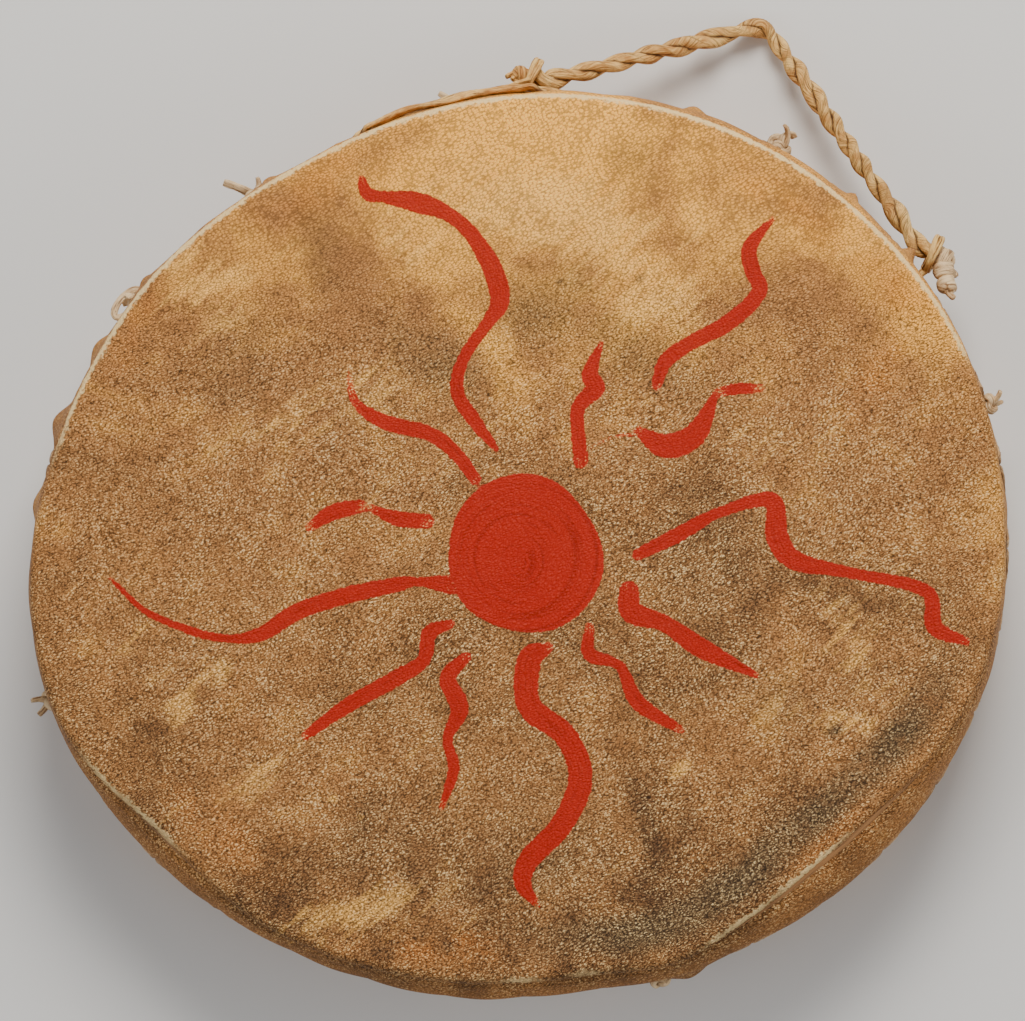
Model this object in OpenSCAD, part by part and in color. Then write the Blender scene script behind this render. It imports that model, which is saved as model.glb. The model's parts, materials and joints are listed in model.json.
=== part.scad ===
// Hand-made frame drum, lying on its back head with the painted head up.
// Origin: middle of the back head's underside. +Z points up through the painted head.
// A bent hoop holds two rawhide heads. Thongs lace one head's flap to the other's across the
// side wall, and a twisted rawhide loop swings in two eyes.

/* [Hoop] */
// Mean radius of the hoop's outer face
hoop_r = 154; // [130:1:185]
// How far the hoop's long axis reaches past its mean radius
hoop_oval = 7.5; // [0:0.5:9]
// Direction of the long axis, in degrees from +X
oval_turn = 14; // [-90:1:90]
// Height of the three shallow bulges in the hoop's outline
hoop_lump = 2.3; // [0:0.1:3]
// Direction of one of the bulges, in degrees from +X
lump_turn = 73; // [-180:1:180]
// Depth of the hoop
hoop_depth = 61; // [52:1:78]
// Thickness of the hoop's wood
hoop_thick = 7; // [5:0.5:10]

/* [Heads] */
// Thickness of the rawhide
hide_thick = 1.2; // [1:0.1:1.5]
// How far each head's flap reaches over the side wall
flap_depth = 22; // [17:0.5:23]

/* [Lacing] */
// Number of lacing holes in each flap
lace_holes = 36; // [30:1:44]
// Width of the lacing thong
lace_wide = 4; // [3:0.2:4.6]
// Thickness of the lacing thong
lace_thick = 1.6; // [1.2:0.1:1.8]

/* [Carrying loop] */
// Distance from the line through the eyes to the loop's peak
loop_reach = 56; // [46:1:68]
// How far the peak sits to the left of the middle
loop_lean = 8; // [0:1:14]
// Radius of each of the cord's two plies
ply_r = 1.85; // [1.5:0.05:2]
// Length of one full turn of the twist
twist_pitch = 30; // [24:1:40]

/* [Hidden] */
$fn = 48;

// Colours
wood = "peru";
hide = "burlywood";
thong = "tan";
cord = "wheat";

// Side wall, worked outwards from the hoop
outline_points = 96;
fit_gap = 0.2;
slip = 0.15;
// Heights above the hoop's outer face
hide_in = fit_gap;
hide_out = hide_in + hide_thick;
lace_in = hide_out + slip;
drum_depth = hoop_depth + 2 * (fit_gap + hide_thick);
mid_z = drum_depth / 2;

// Places round the rim are counted in lacing holes
lace_step = 360 / lace_holes;

// Scarf joint where the two ends of the bent strip meet
scarf_at = 24.5 * lace_step;
scarf_slope = 16;
scarf_cut = [0.3, 56, 2 * drum_depth];
stitch_z = [mid_z - 5, mid_z + 5];
stitch_leg = [6, 1.2];
stitch_bar = [1.1, 16, 3];
stitch_bow = 0.35;

// Lacing: each thong starts and ends in a knot
edge_margin = 5;
back_hole_z = flap_depth - edge_margin;
front_hole_z = drum_depth - back_hole_z;
peg_r = 1.3;
peg_fit = 0.05;
knot_at = [2, 6, 10, 13, 15, 20, 29];
knot_shift = 0.25;
thong_gap = 0.04;
knot_ring = [2.5, 1.7];
knot_core = 3.4;
knot_rise = 0.4;
tail_r = [1.5, 0.7];
// Length, lean from the wall's normal and turn about it of each knot's two loose ends
tails = [[[9, 25, 60], [8, 35, 250]],
         [[7, 50, 150], [7, 50, 20]],
         [[8, 30, 80], [6, 60, 200]],
         [[12, 15, 100], [7, 50, 280]],
         [[8, 55, 75], [8, 55, 105]],
         [[13, 20, 160], [12, 30, 20]],
         [[7, 60, 90], [6, 55, 240]]];

// Eyes: each is a thong ring on a stem that goes through the hoop to a button inside
eye_left_at = 9 * lace_step;
eye_right_at = 3.5 * lace_step;
eye_rise = 4;
eye_ring = [6, 1.4];
stem_r = 1.6;
button = [3, 4];
button_in = -hoop_thick - 0.4 - button[0];

// Flat strap beside the left eye
strap_wide = 5;
strap_thick = 1.5;
strap_end = 1.5;
strap_gap = 0.7;
strap_z = front_hole_z + lace_wide / 2 + strap_gap + strap_wide / 2;
strap_from = eye_left_at + 4;
strap_to = eye_left_at + 22;

// Carrying loop, drawn flat with its swing axis along X, then turned into place
ply_offset = ply_r + 0.2;
ply_sides = 8;
ring_step = 3;
loop_start = eye_ring[1] + 0.4;
loop_lead = 4.5;
side_bend = 5;
peak_bend = 6;
bend_steps = 6;
rest_gap = 0.1;
knot_r = [6.4, 5.4];

function unit(v) = v / norm(v);
function rim_r(a, r) = r + hoop_oval * cos(2 * (a - oval_turn)) + hoop_lump * cos(3 * (a - lump_turn));
function rim(a, r) = rim_r(a, r) * [cos(a), sin(a)];
// Direction that the wall faces at angle a
function facing(a) = let (d = rim(a + 1, hoop_r) - rim(a - 1, hoop_r)) atan2(d.y, d.x) - 90;
// The point straight out from the wall at angle a
function above(a, up) = rim(a, hoop_r) + up * [cos(facing(a)), sin(facing(a))];

// The drum's outline, a height above the hoop's outer face
module outline(up) polygon([for (i = [0 : outline_points - 1]) rim(i * 360 / outline_points, hoop_r + up)]);

module slab(up, z, h) translate([0, 0, z]) linear_extrude(h) outline(up);

// Puts its children on the side wall: local X outwards, Y round the rim, Z up
module on_wall(a, up, z) translate([rim(a, hoop_r).x, rim(a, hoop_r).y, z])
    rotate([0, 0, facing(a)]) translate([up, 0, 0]) children();

// A round rod along the wall's normal, from one height above the hoop to another
module wall_rod(a, z, from, to, rod_r) on_wall(a, from, z) rotate([0, 90, 0]) cylinder(h = to - from, r = rod_r);

module wall_hole(a, z, hole_r) wall_rod(a, z, -2 * hoop_thick, 10 * hide_thick, hole_r);

// Hoop ------------------------------------------------------------------

// The stitches' four legs, which go right through both lips of the scarf
module stitch_legs(grow) for (z = stitch_z, side = [-1, 1])
    on_wall(scarf_at, -hoop_thick - stitch_bar[0], z)
        translate([0, side * stitch_leg[0], 0]) rotate([0, 90, 0])
            cylinder(h = hoop_thick + 1.8 * stitch_bar[0], r = stitch_leg[1] + grow);

module hoop() color(wood) difference() {
    slab(0, hide_out, hoop_depth);
    slab(-hoop_thick, 0, drum_depth);
    on_wall(scarf_at, -hoop_thick / 2, mid_z) rotate([0, 0, scarf_slope]) cube(scarf_cut, center = true);
    stitch_legs(peg_fit);
    for (a = [eye_left_at, eye_right_at]) wall_hole(a, mid_z, stem_r + peg_fit);
}

module scarf_stitches() color(thong) {
    stitch_legs(0);
    for (z = stitch_z) on_wall(scarf_at, 0, z) {
        translate([peg_fit + stitch_bar[0] / 2, 0, 0]) cube(stitch_bar, center = true);
        translate([-hoop_thick - stitch_bow - stitch_bar[0] / 2, 0, 0]) cube(stitch_bar, center = true);
    }
}

// Heads -----------------------------------------------------------------

module lace_row(offset, z) for (i = [0 : lace_holes - 1])
    wall_hole((i + offset) * lace_step, z, peg_r + peg_fit);

module front_head() color(hide) difference() {
    slab(hide_out, drum_depth - flap_depth, flap_depth);
    slab(hide_in, 0, drum_depth - hide_thick);
    lace_row(0, front_hole_z);
    for (a = [strap_from, strap_to]) wall_hole(a, strap_z, peg_r + peg_fit);
}

module back_head() color(hide) difference() {
    slab(hide_out, 0, flap_depth);
    slab(hide_in, hide_thick, drum_depth);
    lace_row(0.5, back_hole_z);
}

// Lacing ----------------------------------------------------------------

// One straight run of thong between two places, counted in holes round the rim
module run(from, z_from, to, z_to, grow = 0) {
    span = norm(rim(to * lace_step, hoop_r) - rim(from * lace_step, hoop_r));
    rise = z_to - z_from;
    size = [lace_thick + 2 * grow, norm([span, rise]), lace_wide + 2 * grow];
    on_wall((from + to) / 2 * lace_step, lace_in + lace_thick / 2, (z_from + z_to) / 2)
        rotate([atan2(rise, span), 0, 0]) cube(size, center = true);
}

// A thong's turn at a hole: a round bend outside and a plug through the flap
module turn_at(place, z) {
    wall_rod(place * lace_step, z, lace_in, lace_in + lace_thick, lace_wide / 2);
    wall_rod(place * lace_step, z, hide_in, lace_in + lace_thick / 2, peg_r);
}

module first_run(k, grow = 0) run(k - knot_shift + thong_gap, mid_z, k, front_hole_z, grow);

module last_run(k, grow = 0) run(k - 0.5, back_hole_z, k - knot_shift - thong_gap, mid_z, grow);

module lacing(i) color(thong) {
    start = knot_at[i];
    next = i + 1 < len(knot_at) ? knot_at[i + 1] : knot_at[0] + lace_holes;
    first_run(start);
    last_run(next);
    for (k = [start : next - 1]) {
        turn_at(k, front_hole_z);
        turn_at(k + 0.5, back_hole_z);
        run(k, front_hole_z, k + 0.5, back_hole_z);
        if (k > start) run(k - 0.5, back_hole_z, k, front_hole_z);
    }
}

// The knot wraps both thong ends, which pass through it
module lacing_knot(i) color(thong) difference() {
    on_wall((knot_at[i] - knot_shift) * lace_step, knot_rise + knot_ring[0] + knot_ring[1], mid_z) {
        rotate([-30, 0, 0]) rotate_extrude() translate([knot_ring[0], 0]) circle(r = knot_ring[1]);
        sphere(r = knot_core);
        for (t = tails[i]) rotate([t[2], 0, 0]) rotate([0, 90 - t[1], 0])
            cylinder(h = t[0], r1 = tail_r[0], r2 = tail_r[1]);
    }
    first_run(knot_at[i], peg_fit);
    last_run(knot_at[i], peg_fit);
}

module tie_strap() color(thong) {
    intersection() {
        difference() {
            slab(lace_in + strap_thick, strap_z - strap_wide / 2, strap_wide);
            slab(lace_in, 0, drum_depth);
        }
        linear_extrude(drum_depth) polygon([[0, 0], rim(strap_from - strap_end, 2 * hoop_r),
                                            rim(strap_to + strap_end, 2 * hoop_r)]);
    }
    for (a = [strap_from, strap_to]) wall_rod(a, strap_z, hide_in, lace_in + strap_thick / 2, peg_r);
}

// Carrying loop ----------------------------------------------------------

foot_left = above(eye_left_at, hide_out + eye_rise);
foot_right = above(eye_right_at, hide_out + eye_rise);
along = unit(foot_right - foot_left);
out = [-along.y, along.x];
axis_left = foot_left + out * eye_ring[0];
eye_span = norm(foot_right - foot_left);
droop = asin((mid_z - ply_offset - ply_r - rest_gap) / loop_reach);

// The swing axis: origin at the left eye, X towards the right eye
module at_axis() translate([axis_left.x, axis_left.y, mid_z]) rotate([0, 0, atan2(along.y, along.x)]) children();

module in_loop() at_axis() rotate([-droop, 0, 0]) children();

module eye(x, a) color(thong) {
    at_axis() translate([x, 0, 0]) rotate([0, 90, 0])
        rotate_extrude() translate([eye_ring[0], 0]) circle(r = eye_ring[1]);
    wall_rod(a, mid_z, button_in + button[0] / 2, hide_out + eye_rise, stem_r);
    wall_rod(a, mid_z, button_in, button_in + button[0], button[1]);
}

// Points round a bend of radius r at corner p1, on the way from p0 to p2
function bend(p0, p1, p2, r) =
    let (a = unit(p0 - p1), b = unit(p2 - p1), half = acos(a * b) / 2,
         centre = p1 + unit(a + b) * r / sin(half), first = p1 + a * r / tan(half) - centre,
         begin = atan2(first.y, first.x), sweep = sign(cross(-a, b)) * (180 - 2 * half))
    [for (k = [0 : bend_steps]) centre + r * [cos(begin + sweep * k / bend_steps),
                                              sin(begin + sweep * k / bend_steps)]];

// The cord's route: out of the left eye, up to the peak and down into the right eye
peak = [eye_span / 2 - loop_lean, loop_reach];
ends = [[-loop_start, 0], [eye_span + loop_start, 0]];
corners = [[loop_lead, 0], [eye_span - loop_lead, 0]];
route = concat([ends[0]], bend(ends[0], corners[0], peak, side_bend),
               bend(corners[0], peak, corners[1], peak_bend),
               bend(peak, corners[1], ends[1], side_bend), [ends[1]]);
steps = [for (i = [0 : len(route) - 1]) i == 0 ? 0 : norm(route[i] - route[i - 1])];
run_length = [for (i = 0, s = 0; i < len(route); i = i + 1, s = s + (i < len(route) ? steps[i] : 0)) s];
route_x = [for (i = [0 : len(route) - 1]) [run_length[i], route[i].x]];
route_y = [for (i = [0 : len(route) - 1]) [run_length[i], route[i].y]];
cord_length = run_length[len(route) - 1];
rings = round(cord_length / ring_step);

function on_route(s) = [lookup(s, route_x), lookup(s, route_y), 0];

// One ring of a ply at distance s: the ply circles the cord's middle as the twist turns
function ply_ring(s, phase) =
    let (t = unit(on_route(s + 1) - on_route(s - 1)), side = [-t.y, t.x, 0], up = [0, 0, 1],
         turn = 360 * s / twist_pitch + phase,
         middle = on_route(s) + ply_offset * (cos(turn) * side + sin(turn) * up))
    [for (j = [0 : ply_sides - 1]) middle + ply_r * (cos(360 * j / ply_sides) * side
                                                     + sin(360 * j / ply_sides) * up)];

module ply(phase) color(cord) in_loop() polyhedron(
    points = [for (i = [0 : rings]) each ply_ring(i * cord_length / rings, phase)],
    faces = concat([[for (j = [0 : ply_sides - 1]) j]],
                   [[for (j = [ply_sides - 1 : -1 : 0]) rings * ply_sides + j]],
                   [for (i = [0 : rings - 1], j = [0 : ply_sides - 1])
                       let (k = (j + 1) % ply_sides, a = i * ply_sides, b = a + ply_sides)
                       [a + j, b + j, b + k, a + k]]));

// A stopper knot of one or two lumps, with a flat face against the plies and a loose end
module stopper(lumps, tail) {
    intersection() {
        union() for (i = [0 : lumps - 1]) translate([0, 2 * i, knot_r[0] * (0.8 + 1.2 * i)]) sphere(r = knot_r[i]);
        cylinder(h = 6 * knot_r[0], r = 3 * knot_r[0]);
    }
    translate([0, 0, knot_r[0]]) rotate([-tail[1], 0, 0]) cylinder(h = tail[0], r1 = 2.4, r2 = 0.9);
}

module handle_knot_left() color(cord) in_loop() translate(ends[0]) rotate([0, -90, 0]) stopper(1, [15, 35]);

module handle_knot_right() color(cord) in_loop() translate(ends[1]) rotate([0, 90, 0]) stopper(2, [19, 60]);

hoop();
scarf_stitches();
front_head();
back_head();
lacing(0);  // lacing_1
lacing(1);  // lacing_2
lacing(2);  // lacing_3
lacing(3);  // lacing_4
lacing(4);  // lacing_5
lacing(5);  // lacing_6
lacing(6);  // lacing_7
lacing_knot(0);  // lacing_knot_1
lacing_knot(1);  // lacing_knot_2
lacing_knot(2);  // lacing_knot_3
lacing_knot(3);  // lacing_knot_4
lacing_knot(4);  // lacing_knot_5
lacing_knot(5);  // lacing_knot_6
lacing_knot(6);  // lacing_knot_7
tie_strap();
eye(0, eye_left_at);  // handle_eye_left
eye(eye_span, eye_right_at);  // handle_eye_right
ply(0);  // handle_ply_a
ply(180);  // handle_ply_b
handle_knot_left();
handle_knot_right();
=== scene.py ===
import json
import math

import bpy
import numpy as np
from mathutils import Matrix, Vector


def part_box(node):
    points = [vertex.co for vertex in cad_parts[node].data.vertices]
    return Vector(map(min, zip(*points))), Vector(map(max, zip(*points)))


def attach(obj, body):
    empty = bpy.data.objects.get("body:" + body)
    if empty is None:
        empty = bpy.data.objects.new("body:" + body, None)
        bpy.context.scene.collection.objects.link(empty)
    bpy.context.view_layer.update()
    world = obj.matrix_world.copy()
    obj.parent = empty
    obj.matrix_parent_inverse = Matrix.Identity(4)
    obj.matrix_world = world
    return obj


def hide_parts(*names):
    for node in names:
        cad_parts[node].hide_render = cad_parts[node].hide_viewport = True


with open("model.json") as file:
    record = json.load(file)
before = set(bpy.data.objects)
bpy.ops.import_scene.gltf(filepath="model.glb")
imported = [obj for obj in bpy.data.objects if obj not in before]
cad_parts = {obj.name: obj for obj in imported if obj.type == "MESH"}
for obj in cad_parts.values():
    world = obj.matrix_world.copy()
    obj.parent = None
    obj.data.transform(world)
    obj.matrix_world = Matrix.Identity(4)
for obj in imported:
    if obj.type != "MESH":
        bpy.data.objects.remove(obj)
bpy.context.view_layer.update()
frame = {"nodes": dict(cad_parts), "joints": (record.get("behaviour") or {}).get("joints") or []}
mm = 0.001
rng = np.random.default_rng(13)

# The drum's own sizes, in millimetres and degrees
drum = {
    "radius": 154.0, "oval": 7.5, "ovalTurn": 14, "lump": 2.3, "lumpTurn": 73,
    "depth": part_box("front_head")[1][2] / mm,
    "flap": (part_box("front_head")[1][2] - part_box("front_head")[0][2]) / mm,
    "fitGap": 0.2, "hide": 1.2, "woodThick": 7.0, "laceHoles": 36, "edgeMargin": 5.0,
}
drum["mid"] = drum["depth"] / 2
drum["hideOut"] = drum["fitGap"] + drum["hide"]
drum["backHoleZ"] = drum["flap"] - drum["edgeMargin"]
drum["frontHoleZ"] = drum["depth"] - drum["backHoleZ"]
laceStep = 360 / drum["laceHoles"]


def cosd(a):
    return np.cos(np.radians(a))


def sind(a):
    return np.sin(np.radians(a))


def unit(v):
    return v / np.linalg.norm(v, axis=-1, keepdims=True)


def runAlong(path):
    # length travelled at each point of a path
    return np.concatenate([[0], np.cumsum(np.linalg.norm(np.diff(path, axis=0), axis=1))])


def bumpAt(angle, at, width):
    # a soft hump round the rim, 1 at its middle
    away = (np.asarray(angle, float) - at + 180) % 360 - 180
    return np.exp(-(away / width) ** 2)


def ease(x, low, high):
    t = np.clip((np.asarray(x, float) - low) / (high - low), 0, 1)
    return t * t * (3 - 2 * t)


def rim(angle):
    r = drum["radius"] + drum["oval"] * cosd(2 * (angle - drum["ovalTurn"])) \
        + drum["lump"] * cosd(3 * (angle - drum["lumpTurn"]))
    return np.stack([r * cosd(angle), r * sind(angle)], -1)


def facing(angle):
    # the way the wall faces
    d = unit(rim(angle + 0.5) - rim(angle - 0.5))
    return np.stack([d[..., 1], -d[..., 0]], -1)


def outAt(angle):
    d = facing(np.asarray(angle, float))
    return np.concatenate([d, np.zeros(d.shape[:-1] + (1,))], -1)


# Where the hand-bent hoop swells and pinches: angle, height of the played edge and of the
# side wall just under it, both above the hoop's true face
wallShape = [
    (0, 0.5, 1.2), (15, 0.5, 1.2), (25, 1.2, 1.6), (33, 0.5, 1.8), (45, -0.5, 2.0), (60, -0.3, 2.0),
    (75, 0.5, 2.4), (90, 1.8, 2.8), (105, 2.2, 2.8), (120, 1.6, 2.3), (130, 2.2, 2.8), (145, 2.5, 3.0),
    (155, 0.8, 1.5),
    (170, -0.5, 1.0), (185, 1.5, 2.2), (200, 2.2, 2.8), (208, -1.0, 2.5), (217, -6.0, 2.5), (225, -5.0, 2.5),
    (234, -1.0, 3.0), (245, 0.0, 3.5), (260, 0.0, 5.0), (280, -2.5, 3.0), (290, 0.5, 4.0), (300, -5.0, 3.0),
    (312, -9.0, 4.0), (322, -8.5, 3.0), (332, -4.0, 2.5), (342, 0.0, 2.5), (352, 1.0, 2.0),
]
# How the wall follows that table: where it starts to lean, and the bulge below the edge
wallForm = {
    "step": 0.5, "blurReach": 16, "blur": 7, "leanFrom": 50, "leanPower": 1.25, "bulgeAt": 54, "bulge": 4.6,
}
shapeAngles = np.arange(0, 360, wallForm["step"])


def shapeTable(column):
    reach = wallForm["blurReach"]
    blur = np.exp(-(np.arange(-reach, reach + 1) / wallForm["blur"]) ** 2)
    at, heights = [row[0] for row in wallShape], [row[column] for row in wallShape]
    heights = np.pad(np.interp(shapeAngles, at, heights, period=360), reach, mode="wrap")
    return np.convolve(heights, blur / blur.sum(), "valid") - drum["hideOut"]


edgeTable, swellTable = shapeTable(1), shapeTable(2)


def wall(angle, up, z):
    # a point a height above the hoop's face, on the swelling wall
    s = wallForm
    angle, up, z = np.broadcast_arrays(np.asarray(angle, float), up, z)
    lean = np.clip((z - s["leanFrom"]) / (drum["depth"] - s["leanFrom"]), 0, 1) ** s["leanPower"]
    bulge = np.exp(-((z - s["bulgeAt"]) / s["bulge"]) ** 2)
    shift = np.interp(angle, shapeAngles, edgeTable, period=360) * lean \
        + np.interp(angle, shapeAngles, swellTable, period=360) * bulge
    return np.concatenate([rim(angle) + facing(angle) * (up + shift)[..., None], z[..., None]], -1)


def put(tree, kind, inputs=None, **settings):
    made = tree.nodes.new("ShaderNode" + kind)
    for name, value in settings.items():
        setattr(made, name, value)
    for name, value in (inputs or {}).items():
        socket = made.inputs[name]
        if isinstance(value, bpy.types.NodeSocket):
            tree.links.new(value, socket)
        else:
            socket.default_value = value
    return made


def calc(tree, operation, a, b=0.0, c=0.0):
    return put(tree, "Math", {0: a, 1: b, 2: c}, operation=operation).outputs[0]


def times(tree, a, b):
    return calc(tree, "MULTIPLY", a, b)


def scaled(tree, value, by, plus):
    return calc(tree, "MULTIPLY_ADD", value, by, plus)


def swung(tree, noise, by, around):
    # a value pushed up and down by a noise
    return scaled(tree, calc(tree, "SUBTRACT", noise, 0.5), by, around)


def fit(tree, value, low, high, toLow=0.0, toHigh=1.0):
    # a smooth step from low to high
    return put(tree, "MapRange", {"Value": value, "From Min": low, "From Max": high,
               "To Min": toLow, "To Max": toHigh}, interpolation_type="SMOOTHSTEP").outputs[0]


def blendColour(tree, factor, a, b, how="MIX"):
    made = put(tree, "Mix", data_type="RGBA", blend_type=how)
    for name, value in ((0, factor), (6, a), (7, b)):
        if isinstance(value, bpy.types.NodeSocket):
            tree.links.new(value, made.inputs[name])
        else:
            made.inputs[name].default_value = value if name == 0 else (*value, 1)
    return made.outputs[2]


def speckle(tree, place, scale, detail=2.0, rough=0.5, warp=0.0):
    return put(tree, "TexNoise", {"Vector": place, "Scale": scale, "Detail": detail,
               "Roughness": rough, "Distortion": warp}).outputs["Fac"]


def stretched(tree, place, size):
    return put(tree, "VectorMath", {0: place, 1: size}, operation="MULTIPLY").outputs[0]


def turned(tree, place, degrees):
    return put(tree, "VectorRotate", {"Vector": place, "Angle": math.radians(degrees)},
               rotation_type="Z_AXIS").outputs[0]


def stored(tree, name):
    return put(tree, "Attribute", attribute_name=name)


def storedTriple(tree, name):
    return put(tree, "SeparateXYZ", {0: stored(tree, name).outputs["Vector"]}).outputs


def greyOf(tree, value):
    return put(tree, "CombineColor", {0: value, 1: value, 2: value}).outputs[0]


def inMillimetres(tree):
    place = put(tree, "TexCoord").outputs["Object"]
    return stretched(tree, place, (1000, 1000, 1000))


def newGroup(name, inputs, outputs):
    group = bpy.data.node_groups.new(name, "ShaderNodeTree")
    for label, value in inputs:
        kind = "NodeSocketVector" if value is None else "NodeSocketFloat"
        socket = group.interface.new_socket(label, in_out="INPUT", socket_type=kind)
        if value is not None:
            socket.default_value = value
    for label in outputs:
        group.interface.new_socket(label, in_out="OUTPUT", socket_type="NodeSocketFloat")
    return group, group.nodes.new("NodeGroupInput").outputs


def finishGroup(group, **values):
    result = group.nodes.new("NodeGroupOutput")
    for name, value in values.items():
        group.links.new(value, result.inputs[name])
    return group


def placeGroup(tree, group, inputs):
    return put(tree, "Group", inputs, node_tree=group).outputs


def newMaterial(name):
    material = bpy.data.materials.new(name)
    material.use_nodes = True
    tree = material.node_tree
    shader = tree.nodes["Principled BSDF"]
    return material, tree, shader


def finishSurface(tree, shader, colour, rough, height, bump, distance=0.0004):
    relief = put(tree, "Bump", {"Height": height, "Strength": bump, "Distance": distance})
    tree.links.new(relief.outputs["Normal"], shader.inputs["Normal"])
    tree.links.new(colour, shader.inputs["Base Color"])
    tree.links.new(rough, shader.inputs["Roughness"])


def makeGrainGroup():
    # Goat hide: short raised pebbles with creases between them, and open pores
    group, given = newGroup("hideGrain", [("Place", None), ("Cell", 1.3), ("Drift", 7.0)],
                            ["Pebble", "Pore", "Fleck", "Height"])
    place = given["Place"]
    sway = put(group, "TexNoise", {"Vector": place, "Scale": 0.028, "Detail": 1.0}).outputs["Color"]
    drift = put(group, "VectorMath", {0: sway, "Scale": given["Drift"]}, operation="SCALE")
    moved = put(group, "VectorMath", {0: place, 1: drift.outputs[0]}, operation="ADD").outputs[0]
    moved = stretched(group, turned(group, moved, -28), (0.76, 1.2, 1.0))
    size = calc(group, "DIVIDE", 1.0, given["Cell"])
    edges = put(group, "TexVoronoi", {"Vector": moved, "Scale": size, "Randomness": 0.9},
                feature="DISTANCE_TO_EDGE").outputs["Distance"]
    holes = put(group, "TexVoronoi", {"Vector": moved, "Scale": size, "Randomness": 0.7},
                feature="F1").outputs["Distance"]
    fine = speckle(group, moved, times(group, size, 1.35), 2.5, 0.6)
    pebble = scaled(group, fit(group, edges, 0.0, 0.24), 0.5, times(group, fit(group, fine, 0.36, 0.64), 0.5))
    pore = fit(group, holes, 0.26, 0.66)
    fleck = times(group, fit(group, fine, 0.50, 0.62), fit(group, edges, 0.02, 0.16))
    return finishGroup(group, Pebble=pebble, Pore=pore, Fleck=fleck, Height=scaled(group, pore, -0.5, pebble))


def makeMottleGroup():
    # Cloudy colour of old hide or wood at three sizes
    group, given = newGroup("mottle", [("Place", None), ("Size", 40.0)], ["Cloud", "Blotch", "Dust"])
    place, scale = given["Place"], calc(group, "DIVIDE", 1.0, given["Size"])
    return finishGroup(group, Cloud=speckle(group, place, scale, 4.0, 0.6, 0.8),
                       Blotch=speckle(group, place, times(group, scale, 4.0), 3.0, 0.55),
                       Dust=speckle(group, place, times(group, scale, 30.0), 3.0, 0.6))


def makeFibreGroup():
    # Long fibres along a strip, from its own along and across places
    group, given = newGroup("fibres", [("Strip", None), ("Count", 2.0)], ["Streak", "Height"])
    long = stretched(group, given["Strip"], (0.09, 1.0, 1.0))
    streak = speckle(group, long, given["Count"], 4.0, 0.65, 0.25)
    fray = speckle(group, stretched(group, given["Strip"], (0.4, 1.0, 1.0)), 0.7, 3.0)
    return finishGroup(group, Streak=streak, Height=calc(group, "ADD", streak, times(group, fray, 0.5)))


hideGrain = makeGrainGroup()
mottle = makeMottleGroup()
fibres = makeFibreGroup()
print("shared effects made")


hideFinish = {
    "dark": (0.092, 0.041, 0.016), "mid": (0.37, 0.158, 0.046), "light": (0.98, 0.46, 0.075),
    "cream": (0.98, 0.72, 0.34), "grey": (0.105, 0.064, 0.030), "rust": (0.54, 0.170, 0.026),
    "paint": (0.44, 0.010, 0.002), "paintDark": (0.33, 0.006, 0.001), "paintThin": (0.66, 0.050, 0.006),
    "pale": (0.98, 0.51, 0.115), "grain": 0.95, "bump": 0.5, "cloudSize": 46.0, "specular": 0.16,
    # how strongly each effect covers the skin under it
    "paleMix": 0.62, "rustMix": 0.7, "sootMix": 0.9, "fleckMix": 0.85, "wornAndHighlightMix": 0.82, "sideMix": 0.35,
    "paintMix": 0.97, "paintRough": 0.52,
}


def coat(tree, skin, amount, colour, mix):
    # a colour laid over the skin, as strongly as its mix allows
    return blendColour(tree, times(tree, amount, hideFinish[mix]), skin, hideFinish[colour])


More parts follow.
